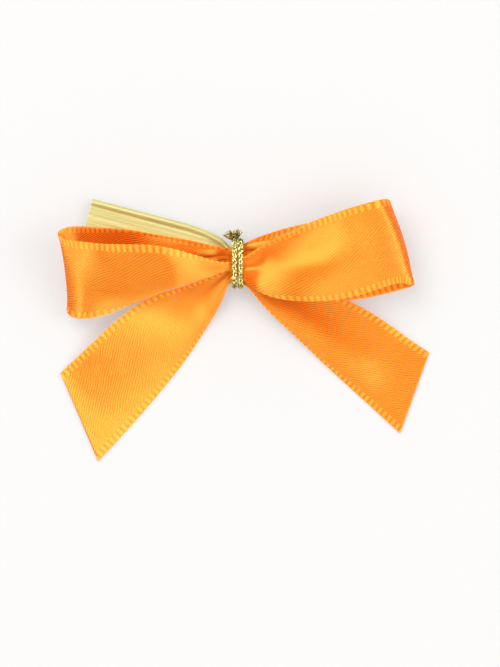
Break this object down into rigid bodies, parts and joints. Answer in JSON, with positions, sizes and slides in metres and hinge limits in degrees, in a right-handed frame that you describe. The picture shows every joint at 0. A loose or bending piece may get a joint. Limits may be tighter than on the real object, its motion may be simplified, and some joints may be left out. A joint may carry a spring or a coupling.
{
  "type": "pre-made gift bow",
  "caption": "Small ready-tied satin ribbon bow with loops and tails, bound at the waist by metallic cord over a flat wired twist tie for fastening it to a bag or box.",
  "frame": {"origin": "under the middle of the bow's box, on the surface that it lies on", "axes": "+X along the bow from left loop to right loop, +Y from the tails to the top, +Z out of the bow's front"},
  "size_m": [0.0638, 0.045, 0.0131],
  "materials": {
    "ribbon": "satin",
    "cord": "satin",
    "gold_film": "gloss",
    "wire": "satin"
  },
  "bodies": {
    "waist": {"waist_front_pass": "ribbon", "waist_rising_pass": "ribbon", "waist_falling_pass": "ribbon", "cord_turn_left": "cord", "cord_turn_right": "cord", "cord_knot": "cord", "cord_end_left": "cord", "cord_end_right": "cord", "tie_heart_front_film": "gold_film", "tie_heart_back_film": "gold_film", "tie_heart_upper_wire": "wire", "tie_heart_lower_wire": "wire"},
    "left_loop": {"left_loop": "ribbon"},
    "right_loop": {"right_loop": "ribbon"},
    "left_tail": {"left_tail": "ribbon"},
    "right_tail": {"right_tail": "ribbon"},
    "left_tie_inner": {"tie_left_inner_front_film": "gold_film", "tie_left_inner_back_film": "gold_film", "tie_left_inner_upper_wire": "wire", "tie_left_inner_lower_wire": "wire"},
    "left_tie_outer": {"tie_left_outer_front_film": "gold_film", "tie_left_outer_back_film": "gold_film", "tie_left_outer_upper_wire": "wire", "tie_left_outer_lower_wire": "wire"},
    "right_tie_inner": {"tie_right_inner_front_film": "gold_film", "tie_right_inner_back_film": "gold_film", "tie_right_inner_upper_wire": "wire", "tie_right_inner_lower_wire": "wire"},
    "right_tie_outer": {"tie_right_outer_front_film": "gold_film", "tie_right_outer_back_film": "gold_film", "tie_right_outer_upper_wire": "wire", "tie_right_outer_lower_wire": "wire"}
  },
  "joints": [
    {"name": "left_loop_lift", "type": "hinge", "parent": "waist", "child": "left_loop", "pos_m": [-0.00246, 0.01072, 0.0053], "axis": [0, 1, 0], "range_deg": [0, 40], "stiffness_Nm_per_rad": 0.0005},
    {"name": "right_loop_lift", "type": "hinge", "parent": "waist", "child": "right_loop", "pos_m": [0.00074, 0.01062, 0.0051], "axis": [0, -1, 0], "range_deg": [0, 40], "stiffness_Nm_per_rad": 0.0005},
    {"name": "left_tail_bend", "type": "hinge", "parent": "waist", "child": "left_tail", "pos_m": [-0.00246, 0.00937, 0.003], "axis": [0, -1, 0], "range_deg": [0, 40], "stiffness_Nm_per_rad": 0.0005},
    {"name": "right_tail_bend", "type": "hinge", "parent": "waist", "child": "right_tail", "pos_m": [0.00074, 0.00932, 0.0021], "axis": [0, 1, 0], "range_deg": [0, 40], "stiffness_Nm_per_rad": 0.0005},
    {"name": "left_tie_inner_bend", "type": "hinge", "parent": "waist", "child": "left_tie_inner", "pos_m": [-0.00241, 0.01213, 0.0012], "axis": [-0.2538, -0.9673, 0], "range_deg": [0, 60]},
    {"name": "left_tie_outer_bend", "type": "hinge", "parent": "left_tie_inner", "child": "left_tie_outer", "pos_m": [-0.01367, 0.01508, 0.0012], "axis": [-0.2538, -0.9673, 0], "range_deg": [0, 55]},
    {"name": "right_tie_inner_bend", "type": "hinge", "parent": "waist", "child": "right_tie_inner", "pos_m": [0.00071, 0.01204, 0.0012], "axis": [-0.1994, 0.9799, 0], "range_deg": [0, 60]},
    {"name": "right_tie_outer_bend", "type": "hinge", "parent": "right_tie_inner", "child": "right_tie_outer", "pos_m": [0.01213, 0.01436, 0.0012], "axis": [-0.1994, 0.9799, 0], "range_deg": [0, 55]}
  ]
}
